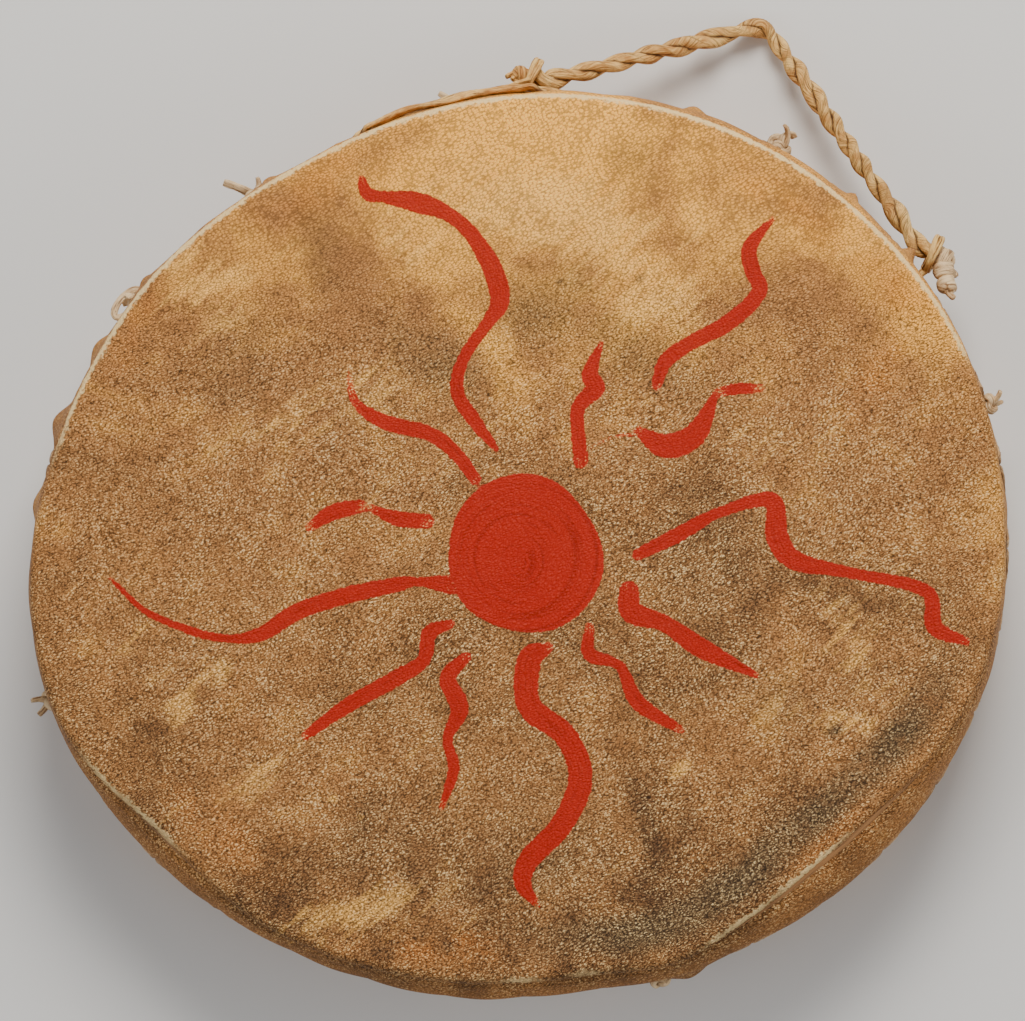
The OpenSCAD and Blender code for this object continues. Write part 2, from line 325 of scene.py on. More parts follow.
def hideColour(tree, place, painted):
    # Colour, roughness and height of the skin, from what is stored on its mesh
    grain = placeGroup(tree, hideGrain, {"Place": place, "Cell": hideFinish["grain"]})
    cloud = placeGroup(tree, mottle, {"Place": place, "Size": hideFinish["cloudSize"]})
    look = storedTriple(tree, "skinLook")
    stain = storedTriple(tree, "skinStain")
    # look[0] holds the tone; on the played face it carries painted light and shade, darker towards the bottom
    drift = swung(tree, cloud["Cloud"], 1.1, look[0])
    tone = swung(tree, cloud["Blotch"], 0.42, drift)
    low = blendColour(tree, fit(tree, tone, -0.1, 0.5), hideFinish["dark"], hideFinish["mid"])
    skin = blendColour(tree, fit(tree, tone, 0.42, 1.05), low, hideFinish["light"])
    rubbed = speckle(tree, stretched(tree, turned(tree, place, -42), (0.16, 1.0, 1.0)), 0.32, 3.0, 0.6)
    uneven = swung(tree, cloud["Blotch"], 1.2, stain[0])
    uneven = swung(tree, rubbed, 2.2, uneven)
    palish = fit(tree, uneven, 0.30, 1.05, 0, hideFinish["paleMix"])
    skin = blendColour(tree, palish, skin, hideFinish["pale"])
    rusty = times(tree, stain[1], fit(tree, cloud["Blotch"], 0.3, 0.65))
    skin = coat(tree, skin, rusty, "rust", "rustMix")
    sooty = times(tree, stain[2], fit(tree, cloud["Blotch"], 0.22, 0.50, 0.4, 1.0))
    skin = coat(tree, skin, sooty, "grey", "sootMix")
    # painted light and shade on the grain: pebbles lightened and creases darkened where the skin is worn,
    # pores darkened where it is pale
    shade = scaled(tree, grain["Pebble"], 1.55, 0.16)
    pores = scaled(tree, grain["Pore"], -0.58, scaled(tree, grain["Pebble"], 0.42, 1.08))
    shade = put(tree, "Mix", {0: look[1], 2: shade, 3: pores}).outputs[0]
    skin = blendColour(tree, 1.0, skin, greyOf(tree, shade), "MULTIPLY")
    scatter = scaled(tree, cloud["Dust"], 0.6, times(tree, cloud["Blotch"], 0.8))
    flecks = times(tree, times(tree, grain["Fleck"], fit(tree, scatter, 0.46, 0.86)), look[2])
    skin = coat(tree, skin, flecks, "cream", "fleckMix")
    # worn edge: real wear, and along the top of the rim a painted highlight
    edge = storedTriple(tree, "skinEdge")
    crumble = scaled(tree, edge[1], -4.0, 8.5)
    ragged = swung(tree, cloud["Dust"], crumble, edge[0])
    band = times(tree, fit(tree, ragged, -1.3, -0.2), fit(tree, ragged, 2.0, 0.7))
    edgeWornAndLit = times(tree, fit(tree, scaled(tree, cloud["Blotch"], 1.4, edge[1]), 0.95, 1.6), band)
    skin = coat(tree, skin, edgeWornAndLit, "cream", "wornAndHighlightMix")
    skin = coat(tree, skin, fit(tree, edge[0], 1.5, 9.0), "mid", "sideMix")
    rough = fit(tree, cloud["Blotch"], 0.2, 0.8, 0.56, 0.74)
    height = grain["Height"]
    if painted:
        skin, rough, height = paintOver(tree, place, skin, rough, height, grain, cloud)
    return skin, rough, height


def paintOver(tree, place, skin, rough, height, grain, cloud):
    # Brushed red: ragged outline, bristle lines along the stroke, thin ends, grain showing through
    stroke = storedTriple(tree, "stroke")
    load = stored(tree, "strokeLoad").outputs["Fac"]
    lane = put(tree, "CombineXYZ", {0: times(tree, stroke[1], 0.05),
               1: times(tree, stroke[2], 1.0)}).outputs[0]
    bristle = speckle(tree, lane, 1.5, 3.0, 0.6, 0.2)
    wobble = times(tree, calc(tree, "SUBTRACT", speckle(tree, place, 0.55, 4.0, 0.65), 0.5), 1.5)
    outside = calc(tree, "ADD", stroke[0], wobble)
    inside = fit(tree, outside, 0.22, -0.22)
    dry = calc(tree, "ADD", times(tree, bristle, 0.75), times(tree, grain["Pebble"], 0.25))
    cover = fit(tree, calc(tree, "SUBTRACT", load, dry), -0.32, 0.02)
    amount = times(tree, inside, cover)
    red = blendColour(tree, fit(tree, bristle, 0.30, 0.52), hideFinish["paintDark"], hideFinish["paint"])
    thin = calc(tree, "SUBTRACT", 1.0, fit(tree, cover, 0.5, 1.0))
    red = blendColour(tree, thin, red, hideFinish["paintThin"])
    # painted shade in the grain's dips darkens the red
    dipShade = scaled(tree, grain["Pebble"], 0.26, 0.86)
    red = blendColour(tree, 1.0, red, greyOf(tree, dipShade), "MULTIPLY")
    skin = blendColour(tree, times(tree, amount, hideFinish["paintMix"]), skin, red)
    rough = put(tree, "Mix", {0: amount, 2: rough, 3: hideFinish["paintRough"]}).outputs[0]
    height = scaled(tree, amount, times(tree, bristle, 0.5), height)
    return skin, rough, height


def makeSkinMaterial(name, painted):
    material, tree, shader = newMaterial(name)
    skin, rough, height = hideColour(tree, inMillimetres(tree), painted)
    finishSurface(tree, shader, skin, rough, height, hideFinish["bump"])
    shader.inputs["Specular IOR Level"].default_value = hideFinish["specular"]
    return material


thongFinish = {
    "cloudSize": 16.0, "relief": 0.0006, "specular": 0.35,
    "dry": ((0.07, 0.030, 0.012), (0.34, 0.165, 0.060), (0.66, 0.42, 0.20)),
    "pale": ((0.13, 0.062, 0.026), (0.48, 0.28, 0.125), (0.86, 0.64, 0.37)),
    "oiled": ((0.075, 0.024, 0.006), (0.52, 0.215, 0.045), (0.98, 0.64, 0.22)),
}


def makeThongMaterial(name, colours, count=2.0, bump=0.6, laid=True):
    # Dry rawhide strip: pale worn ridges, fibres along it, and painted shade darkening it in its hollows
    material, tree, shader = newMaterial(name)
    dark, mid, light = thongFinish[colours]
    strip = stored(tree, "strip").outputs["Vector"] if laid else inMillimetres(tree)
    fibre = placeGroup(tree, fibres, {"Strip": strip, "Count": count})
    cloud = placeGroup(tree, mottle, {"Place": inMillimetres(tree), "Size": thongFinish["cloudSize"]})
    # painted shade: darker where the strip runs into holes, knots and the hollows between strips
    hollowShade = stored(tree, "hollowShade").outputs["Fac"]
    tone = scaled(tree, fibre["Streak"], 0.7, times(tree, cloud["Cloud"], 0.5))
    colour = blendColour(tree, fit(tree, tone, 0.44, 0.76), mid, light)
    colour = blendColour(tree, fit(tree, cloud["Blotch"], 0.50, 0.66, 0, 0.6), colour, mid)
    colour = blendColour(tree, fit(tree, fibre["Streak"], 0.48, 0.34, 0, 0.75), colour, dark)
    colour = blendColour(tree, fit(tree, hollowShade, 0.15, 0.85, 0, 0.9), colour, dark)
    rough = fit(tree, fibre["Streak"], 0.3, 0.7, 0.75, 0.55)
    finishSurface(tree, shader, colour, rough, fibre["Height"], bump, thongFinish["relief"])
    shader.inputs["Specular IOR Level"].default_value = thongFinish["specular"]
    return material


def makeWoodMaterial(name, dark, light):
    material, tree, shader = newMaterial(name)
    strip = stored(tree, "strip").outputs["Vector"]
    long = stretched(tree, strip, (0.012, 1.0, 1.0))
    rings = put(tree, "TexWave", {"Vector": long, "Scale": 0.045, "Distortion": 9.0, "Detail": 3.0,
                "Detail Scale": 1.2}, bands_direction="Y").outputs["Fac"]
    pores = speckle(tree, stretched(tree, strip, (0.05, 1.0, 1.0)), 1.4, 4.0, 0.7)
    cloud = placeGroup(tree, mottle, {"Place": strip, "Size": 60.0})
    shade = scaled(tree, rings, 0.3, times(tree, cloud["Cloud"], 0.75))
    colour = blendColour(tree, shade, dark, light)
    colour = blendColour(tree, fit(tree, pores, 0.50, 0.36, 0, 0.7), colour, tuple(v * 0.35 for v in dark))
    rough = fit(tree, pores, 0.3, 0.6, 0.65, 0.45)
    finishSurface(tree, shader, colour, rough, calc(tree, "ADD", pores, times(tree, rings, 0.4)), 0.4)
    return material


paintedHide = makeSkinMaterial("paintedHide", True)
plainHide = makeSkinMaterial("plainHide", False)
lacingHide = makeThongMaterial("lacingHide", "dry")
knotHide = makeThongMaterial("knotHide", "pale", 1.4)
cordHide = makeThongMaterial("cordHide", "oiled", 1.7, 0.9)
stitchHide = makeThongMaterial("stitchHide", "dry", laid=False)
hoopWood = makeWoodMaterial("hoopWood", (0.17, 0.070, 0.020), (0.44, 0.20, 0.060))
print("materials made")


def addMesh(name, points, faces, material, stores=None, smooth=True):
    # points in millimetres; stores holds per-point numbers for the material to read
    mesh = bpy.data.meshes.new(name)
    mesh.from_pydata((np.asarray(points, float) * mm).tolist(), [], faces)
    for label, values in (stores or {}).items():
        values = np.asarray(values, np.float32)
        kind = "FLOAT" if values.ndim == 1 else "FLOAT_VECTOR"
        layer = mesh.attributes.new(label, kind, "POINT")
        layer.data.foreach_set("value" if values.ndim == 1 else "vector", values.ravel())
    mesh.materials.append(material)
    mesh.validate()
    mesh.polygons.foreach_set("use_smooth", [smooth] * len(mesh.polygons))
    piece = bpy.data.objects.new(name, mesh)
    bpy.context.scene.collection.objects.link(piece)
    return piece


def ringFaces(rings, sides, closeStart=True, closeEnd=True, first=0):
    # faces over rings of points, each ring closed on itself
    i, j = np.meshgrid(np.arange(rings - 1), np.arange(sides), indexing="ij")
    k = (j + 1) % sides
    quads = np.stack([i * sides + j, i * sides + k, (i + 1) * sides + k, (i + 1) * sides + j], -1)
    faces = (quads.reshape(-1, 4) + first).tolist()
    if closeStart:
        faces.append([first + n for n in reversed(range(sides))])
    if closeEnd:
        faces.append([first + (rings - 1) * sides + n for n in range(sides)])
    return faces


def outwardFaces(points, faces):
    # turned over when the solid's volume comes out negative
    tri = np.array([(f[0], f[n], f[n + 1]) for f in faces for n in range(1, len(f) - 1)])
    a, b, c = points[tri[:, 0]], points[tri[:, 1]], points[tri[:, 2]]
    inward = np.einsum("ij,ij->i", a, np.cross(b, c)).sum() < 0
    return [f[::-1] for f in faces] if inward else faces


def smoothPath(points, step):
    # even steps along a rounded path through the points; extra columns are carried along
    points = np.asarray(points, float)
    padded = np.vstack([2 * points[0] - points[1], points, 2 * points[-1] - points[-2]])
    out = []
    for a, b, c, d in zip(padded, padded[1:], padded[2:], padded[3:]):
        for t in np.linspace(0, 1, 24, endpoint=False):
            out.append(0.5 * (2 * b + (c - a) * t + (2 * a - 5 * b + 4 * c - d) * t ** 2
                              + (3 * b - a - 3 * c + d) * t ** 3))
    out = np.array(out + [points[-1]])
    return evenly(out, step)


def evenly(path, step, width=3):
    run = runAlong(path[:, :width])
    at = np.linspace(0, run[-1], max(3, int(run[-1] / step) + 1))
    return np.stack([np.interp(at, run, path[:, n]) for n in range(path.shape[1])], 1)


def stripRings(path, outward, wide, thick, sides=12, twist=None, flat=4.0, rough=0.0):
    # cross-sections of a strip whose flat side faces outward; returns points and stored numbers
    path = np.asarray(path, float)
    ahead = unit(np.gradient(path, axis=0))
    outward = np.broadcast_to(np.asarray(outward, float), path.shape)
    over = unit(outward - (outward * ahead).sum(1, keepdims=True) * ahead)
    across = np.cross(over, ahead)
    turn = np.zeros(len(path)) if twist is None else np.asarray(twist, float)
    a = np.linspace(0, 2 * np.pi, sides, endpoint=False)
    ca, sa = np.cos(a), np.sin(a)
    x = np.sign(ca) * np.abs(ca) ** (2 / flat)
    y = np.sign(sa) * np.abs(sa) ** (2 / flat)
    wide = np.broadcast_to(np.asarray(wide, float), len(path))
    thick = np.broadcast_to(np.asarray(thick, float), len(path))
    u = x[None, :] * wide[:, None] / 2
    v = y[None, :] * thick[:, None] / 2
    if rough:
        v = v + rng.normal(0, rough, v.shape) * (np.abs(y) > 0.5)
        u = u * (1 + rng.normal(0, rough * 0.35, (len(path), 1)))
    c, s = np.cos(turn)[:, None], np.sin(turn)[:, None]
    side = u * c - v * s
    lift = u * s + v * c
    points = path[:, None] + side[..., None] * across[:, None] + lift[..., None] * over[:, None]
    strip = np.stack(np.broadcast_arrays(runAlong(path)[:, None], u, v), -1)
    return points.reshape(-1, 3), strip.reshape(-1, 3)


class Bundle:
    # gathers several strips into one mesh
    def __init__(self):
        self.points, self.faces, self.strip, self.hollowShade = [], [], [], []
        self.count = 0

    def add(self, rings, sides, points, strip, hollowShade):
        self.faces += ringFaces(rings, sides, first=self.count)
        self.points.append(points)
        self.strip.append(strip + rng.uniform(0, 90, 3))
        self.hollowShade.append(hollowShade)
        self.count += len(points)

    def addStrip(self, path, outward, wide, thick, hollowShade=0.0, sides=12, **more):
        points, strip = stripRings(path, outward, wide, thick, sides, **more)
        hollowShade = np.repeat(np.broadcast_to(np.asarray(hollowShade, float), len(path)), sides)
        self.add(len(path), sides, points, strip, hollowShade)

    def build(self, name, material):
        return addMesh(name, np.vstack(self.points), self.faces, material,
                       {"strip": np.vstack(self.strip), "hollowShade": np.concatenate(self.hollowShade)})


skin = {
    "segments": 720, "faceRings": 104, "edgeRound": 3.2, "roundSteps": 7, "flapSteps": 18,
    "backRound": 2.0, "scallop": 3.0, "pucker": 0.35, "curl": 0.9, "wave": 0.16, "sag": 0.22, "dip": 0.25,
    # loose tips of the flap that stand off the wall: angle, width in degrees, lift
    "tips": [(69, 1.7, 3.4), (77, 1.2, 1.6), (47, 0.9, 2.6), (37.5, 0.9, 4.5), (-69, 3.0, 4.2),
             (115, 1.8, 2.4), (125, 2.0, 3.0), (135, 1.8, 2.6), (145, 2.0, 3.4), (155, 2.2, 2.8),
             (165, 2.0, 3.0), (175, 1.8, 2.0)],
}

# Hide tone of the played face with painted light and shade, lighter at the top and darker towards the bottom:
# x, y, lightness
faceToneAndShade = [
    (0, 135, 0.95), (30, 120, 0.95), (-45, 128, 0.85), (75, 110, 0.72), (-90, 95, 0.64), (-100, 60, 0.48),
    (-135, 20, 0.48), (-60, 70, 0.44), (10, 85, 0.62), (45, 95, 0.85), (100, 80, 0.58), (120, 40, 0.50),
    (140, 0, 0.50), (-30, 30, 0.46), (40, 40, 0.38), (0, -20, 0.33), (-80, 0, 0.44), (-90, -50, 0.38),
    (-60, -90, 0.26), (0, -70, 0.27), (60, -40, 0.33), (100, -50, 0.52), (80, -100, 0.20), (0, -130, 0.20),
    (-110, -80, 0.31), (135, -50, 0.38), (-30, -120, 0.28), (-150, -20, 0.42), (60, 0, 0.28), (125, 85, 0.9),
    (-30, -60, 0.36), (40, -120, 0.18), (120, -75, 0.28),
]
# Soft patches: x, y, half width, half height, tilt, amount
palePatches = [(10, 112, 42, 16, -8, 0.95), (40, 84, 34, 15, -30, 0.8), (-105, 85, 20, 24, 35, 0.6),
               (-108, -48, 20, 5, 50, 0.8), (-90, -80, 12, 9, 60, 0.75), (-55, -122, 25, 9, 15, 0.8),
               (108, -30, 12, 22, 20, 0.7), (105, -58, 24, 6, -10, 0.6), (52, -74, 5, 4, 0, 0.9),
               (-63, -84, 2.2, 1.6, 0, 1.0), (-54, -90, 2.0, 1.6, 0, 1.0), (-70, 45, 40, 12, 15, 0.4),
               (120, 100, 12, 10, 0, 0.6),
               (-28, 28, 30, 10, 25, 0.35), (85, 35, 16, 24, -30, 0.4), (-40, 100, 14, 8, -20, 0.5),
               (-128, -38, 8, 14, 30, 0.5)]
rustPatches = [(-62, 122, 26, 10, 20, 0.6), (125, 84, 8, 20, 40, 0.6), (118, 58, 7, 18, -25, 0.6),
               (103, -92, 12, 18, -30, 0.6), (-18, -133, 36, 6, 0, 0.9), (80, 118, 22, 6, -35, 0.6),
               (-130, 70, 5, 16, -30, 0.6), (-100, -95, 24, 8, -45, 0.5), (30, 118, 6, 6, 0, 0.25),
               (95, 108, 16, 6, -40, 0.5)]
sootPatches = [(-30, 62, 18, 10, -30, 0.6), (5, 78, 14, 12, 0, 0.6), (35, 66, 26, 9, -30, 0.5),
               (-10, -100, 60, 20, 0, 0.25), (15, 86, 12, 9, 10, 0.45), (35, 128, 9, 8, 0, 0.4),
               (-95, 62, 10, 20, -20, 0.3), (-68, 100, 7, 18, 15, 0.35), (60, -10, 22, 16, 0, 0.3),
               (85, -52, 12, 10, 0, 0.35), (12, 88, 1.6, 1.2, 0, 1.0), (38.5, 88.5, 1.6, 1.3, 0, 1.0),
               (103, -61, 3.2, 2.2, 25, 1.0), (112, -70, 7, 3, 45, 0.8)]


def patchAmount(x, y, patches):
    total = np.zeros_like(x)
    for px, py, wide, high, tilt, amount in patches:
        c, s = cosd(tilt), sind(tilt)
        u, v = (x - px) * c + (y - py) * s, (y - py) * c - (x - px) * s
        total = np.maximum(total, amount * np.exp(-((u / wide) ** 2 + (v / high) ** 2) ** 1.4))
    return total


def toneAt(x, y, anchors):
    weight, total = np.zeros_like(x), np.zeros_like(x)
    for px, py, value in anchors:
        w = 1 / ((x - px) ** 2 + (y - py) ** 2 + 350) ** 1.6
        weight += w
        total += w * value
    return total / weight


# Brush strokes of the sun's rays, point by point: x, y, width and how much paint
rays = [
    [(-54, 122, 2.5, .9), (-52, 117, 4.6, 1), (-47, 116, 4, .9), (-35, 114, 7, 1), (-25, 110, 5, 1),
     (-17, 103, 5.2, 1), (-10, 91, 6.8, 1), (-8, 81, 6.4, 1), (-12, 74, 4.4, 1), (-20, 62, 4, 1),
     (-22, 51, 4.6, 1), (-16, 41, 4.6, 1), (-9, 32, 2.2, .9)],
    [(-58, 59, 1.2, .35), (-56, 48, 3, .5), (-46, 41, 5, .8), (-31, 37, 5, 1), (-22, 30, 4.6, 1),
     (-16, 22, 4, 1)],
    [(-71, 6, 3, .7), (-63, 11, 5.5, .9), (-54, 13, 4.5, .8)],
    [(-52, 13, 2, .45), (-42, 9, 5, .75), (-32, 8, 5, .95)],
    [(-137, -11, 1.4, .7), (-125, -22, 2.2, .85), (-108, -29, 2.8, 1), (-96, -31, 3, 1), (-86, -29, 5, 1),
     (-75, -22, 5.6, 1), (-60, -17, 5.6, 1), (-42, -13, 5, 1), (-35, -12, 3, 1), (-24, -13, 6.5, 1)],
    [(-72, -63, 3, .8), (-58, -53, 5, 1), (-42, -44, 5.4, 1), (-33, -38, 4.6, 1), (-31, -29, 5, 1),
     (-24, -26, 3, .9)],
    [(-19, -37, 3.6, .9), (-25, -44, 5.5, 1), (-21, -54, 6, .95), (-25, -64, 3.4, .9), (-23, -74, 4, .9),
     (-27, -87, 1.8, .6)],
    [(8, -34, 4, .9), (2, -38, 8, 1), (2, -53, 8, 1), (14, -63, 7.6, 1), (19, -77, 8, 1), (13, -92, 7.5, 1),
     (2, -104, 7, 1), (0, -112, 5.5, .95), (5, -119, 2, .55)],
    [(22, -27, 3, .8), (22, -36, 4.6, .9), (32, -40, 3.4, .8), (38, -52, 5.2, .9), (52, -61, 2.8, .65)],
    [(35, -15, 6.4, 1), (36, -22, 7.5, 1), (47, -26, 5.6, 1), (59, -34, 6.6, 1), (77, -43, 2.2, .8)],
    [(38, -3, 4, 1), (52, 4, 5, 1), (65, 11, 3.6, .8), (82, 15, 5.5, .95), (84, 3, 7.5, 1), (90, -5, 6.5, 1),
     (108, -9, 3.8, .9), (133, -15, 4.5, .95), (136, -27, 5.5, 1), (147, -32, 2.6, .8)],
    [(21, 32, .7, .4), (30, 36, 1, .4), (38, 37, 1.4, .5)],
    [(38, 38, 3, .8), (47, 33, 8, 1), (57, 37, 7.5, 1), (64, 51, 2, .8)],
    [(65, 51, 3.2, .7), (72, 52, 3.8, .75), (79, 52, 2.6, .5)],
    [(26, 68, 1.2, .6), (22, 57, 5.5, 1), (24, 52, 6, 1), (18, 45, 4.6, 1), (19, 28, 5, .95)],
    [(83, 109, 1.4, .6), (75, 99, 5, 1), (76, 91, 5.4, 1), (78, 84, 5.2, 1), (68, 74, 5.5, 1), (55, 67, 5, 1),
     (47, 61, 5, 1), (44, 53, 3.4, .9)],
]
sunDisc = {"x": 0.5, "y": -3.0, "radius": 26.0}
brush = {"step": 0.8, "reach": 9, "dryEnd": 5, "endLoad": 0.55}


def paintStrokes(x, y):
    # for each point: distance outside the nearest stroke, place along it and across it, paint load
    step, reach = brush["step"], brush["reach"]
    best = np.full(x.shape, 99.0)
    along, across, load = np.zeros_like(x), np.zeros_like(x), np.ones_like(x)
    for n, ray in enumerate(rays):
        line = np.array(ray, float)
        path = smoothPath(np.column_stack([line[:, :2], np.zeros(len(line)), line[:, 2:]]), step)
        near = np.flatnonzero((x > path[:, 0].min() - reach) & (x < path[:, 0].max() + reach)
                              & (y > path[:, 1].min() - reach) & (y < path[:, 1].max() + reach))
        dx, dy = x[near, None] - path[:, 0], y[near, None] - path[:, 1]
        gap = np.hypot(dx, dy) - path[:, 3] / 2
        k = gap.argmin(1)
        pick = np.arange(len(near))
        ahead = unit(np.gradient(path[:, :2], axis=0))
        side = dx[pick, k] * ahead[k, 1] - dy[pick, k] * ahead[k, 0]
        closer = gap[pick, k] < best[near]
        spot = near[closer]
        best[spot] = gap[pick, k][closer]
        along[spot] = (k * step)[closer] + 40 * n
        across[spot] = side[closer] + 17 * n
        wet = ease(np.minimum(k, len(path) - 1 - k) * step, 0, brush["dryEnd"])
        load[spot] = (path[k, 4] * (brush["endLoad"] + (1 - brush["endLoad"]) * wet))[closer]
    dx, dy = x - sunDisc["x"], y - sunDisc["y"]
    a = np.degrees(np.arctan2(dy, dx))
    r = np.hypot(dx, dy)
    lopsided = 0.028 * cosd(2 * (a - 120)) + 0.022 * cosd(3 * (a - 95)) + 0.01 * cosd(5 * a)
    outside = r - sunDisc["radius"] * (1 + lopsided)
    disc = outside < best
    best[disc] = outside[disc]
    ring = np.hypot(dx + 3.5 - 0.1 * r, dy + 2.5 - 0.08 * r)
    along[disc] = (9 * cosd(a + 30))[disc]
    across[disc] = (ring * 0.42)[disc] + 400
    load[disc] = 1.0
    return best, along, across, load


def edgeWearAndHighlight(angle):
    # how worn the played edge is round the rim: real wear at the low spots, plus a painted highlight on the
    # rounded edge over the top half
    top = ease(angle, 14, 34) * (1 - ease(angle, 158, 176))
    low = 0.6 * bumpAt(angle, 214, 8) + 0.55 * bumpAt(angle, 300, 5) + 0.6 * bumpAt(angle, 313, 7)
    return np.clip(top + low + 0.3 * bumpAt(angle, 272, 14) + 0.12, 0, 1)


def flapEdge(angle):
    # how much shorter the flap is between two lacing holes
    return skin["scallop"] * np.abs(sind(angle * drum["laceHoles"] / 2)) ** 1.4


def makeSkin(name, front):
    s = skin
    rings = s["faceRings"] if front else s["faceRings"] // 3
    segments = s["segments"]
    angle = np.arange(segments) * 360 / segments
    top = drum["depth"] if front else 0.0
    sign = 1 if front else -1
    fold = s["edgeRound"] if front else s["backRound"]
    place, edgeRun = [], []
    corner = wall(angle, drum["hideOut"] - fold, top)
    if not front:
        corner[:, 2] = 0.0
    # face, out from the middle
    for t in np.linspace(1 / rings, 1, rings):
        ring = corner * [t, t, 1]
        if front:
            wave = s["wave"] * np.sin(ring[:, 0] * 0.061 + 1.3) * np.sin(ring[:, 1] * 0.049)
            ring[:, 2] += (wave - s["sag"]) * (1 - t ** 10)
        place.append(ring)
        edgeRun.append(np.linalg.norm(corner[:, :2], axis=1) * (t - 1) - fold * 0.7)
    # round the edge
    for n in range(1, s["roundSteps"] + 1):
        q = math.pi / 2 * n / s["roundSteps"]
        ring = wall(angle, drum["hideOut"] - fold + fold * math.sin(q), top)
        ring[:, 2] = top - sign * fold * (1 - math.cos(q))
        place.append(ring)
        edgeRun.append(np.full(segments, fold * (q - 0.7)))
    # down the side wall to the scalloped edge
    reach = drum["flap"] - fold - (flapEdge(angle) if front else flapEdge(angle + laceStep / 2))
    tipLift = sum(lift * bumpAt(angle, at, wide) for at, wide, lift in s["tips"]) if front else 0.0
    hold = np.abs(sind((angle + (0 if front else laceStep / 2)) * drum["laceHoles"] / 2))
    wander = 0.5 + 0.5 * np.sin(np.radians(angle) * 11 + (1 if front else 4)) * np.sin(np.radians(angle) * 7)
    down = [(t, 0.0, drum["hideOut"], s["pucker"] * math.sin(math.pi * min(t * 1.1, 1)))
            for t in np.arange(1, s["flapSteps"] + 1) / s["flapSteps"]]
    # over the cut edge and back up inside
    inside = [(t, 0.0, drum["fitGap"], 0.0) for t in (1.0, 0.7, 0.35, 0.0)]
    for t, drop, up, pucker in down + [(1.0, 0.25, drum["fitGap"] + 0.5, 0.0)] + inside:
        lift = pucker * (hold * 2 - 0.6) * wander + s["curl"] * t ** 3 * hold * (0.4 + wander) \
            + tipLift * t ** 2.2
        z = top - sign * (fold + reach * t + drop)
        ring = wall(angle, up + lift, z)
        ring[:, 2] = z
        place.append(ring)
        edgeRun.append(fold + reach * t)
    inner = wall(angle, drum["fitGap"] - fold * 0.4, top)
    for t in (1.0, 0.5):
        ring = inner * [t, t, 1]
        ring[:, 2] = top - sign * drum["hide"]
        place.append(ring)
        edgeRun.append(np.full(segments, -4.0))
    grid = np.array(place)
    middles = [[0, 0, top - (s["dip"] if front else 0)], [0, 0, top - sign * drum["hide"]]]
    points = np.vstack([grid.reshape(-1, 3), middles])
    faces = ringFaces(len(grid), segments, False, False)
    last = len(grid) * segments
    faces += [[last, (j + 1) % segments, j] for j in range(segments)]
    back = last - segments
    faces += [[last + 1, back + j, back + (j + 1) % segments] for j in range(segments)]
    faces = outwardFaces(points, faces)
    run = np.concatenate([np.array(edgeRun).ravel(), [-150, -4]])
    x, y = points[:, 0], points[:, 1]
    a = np.degrees(np.arctan2(y, x)) % 360
    if front:
        # the played face's tone carries painted light and shade: lighter at the top, darker towards the
        # bottom
        tone = toneAt(x, y, faceToneAndShade)
        pale, rust, soot = (patchAmount(x, y, p) for p in (palePatches, rustPatches, sootPatches))
        belt = np.exp(-((run + 12) / 7.0) ** 4) * ease(a, 255, 285) * (1 - ease(a, 334, 352))
        soot = np.maximum(soot, belt * (0.88 + 0.12 * np.sin(a * 0.4)))
    else:
        tone = 0.55 + 0.1 * np.sin(x * 0.02 + 1) * np.sin(y * 0.017)
        pale, rust, soot = patchAmount(-x, y, palePatches[:4]), 0 * x, patchAmount(-x, -y, sootPatches[2:5])
    tone = np.where(run > 2, tone * 0.85 + 0.06, tone)
    openPores = ease(y, 62, 118) * (1 if front else 0.4)
    flecks = np.clip(0.95 - 0.9 * ease(y, 20, 110) - 0.25 * ease(np.hypot(x - 10, y), 110, 150), 0, 1)
    wearAndHighlight = edgeWearAndHighlight(a) * (1 if front else 0.4)
    stores = {"skinLook": np.stack([tone, openPores, flecks], 1),
              "skinStain": np.stack([pale, rust, soot], 1),
              "skinEdge": np.stack([run, wearAndHighlight, 0 * run], 1)}
    if front:
        outside, along, across, load = paintStrokes(x, y)
        outside = np.where(run > -6, 99.0, outside)
        stores["stroke"] = np.stack([outside, along, across], 1)
        stores["strokeLoad"] = load
    return addMesh(name, points, faces, paintedHide if front else plainHide, stores)


frontSkin = makeSkin("frontSkin", True)
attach(frontSkin, "drum")
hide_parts("front_head")
backSkin = makeSkin("backSkin", False)
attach(backSkin, "drum")
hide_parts("back_head")
print("skins made")


hoop = {"segments": 480, "chamfer": 1.2, "scarfAt": 24.5 * laceStep, "scarfReach": 9.0, "gap": 0.25,
        "shoulder": 14, "length": 970, "bevel": 0.4}


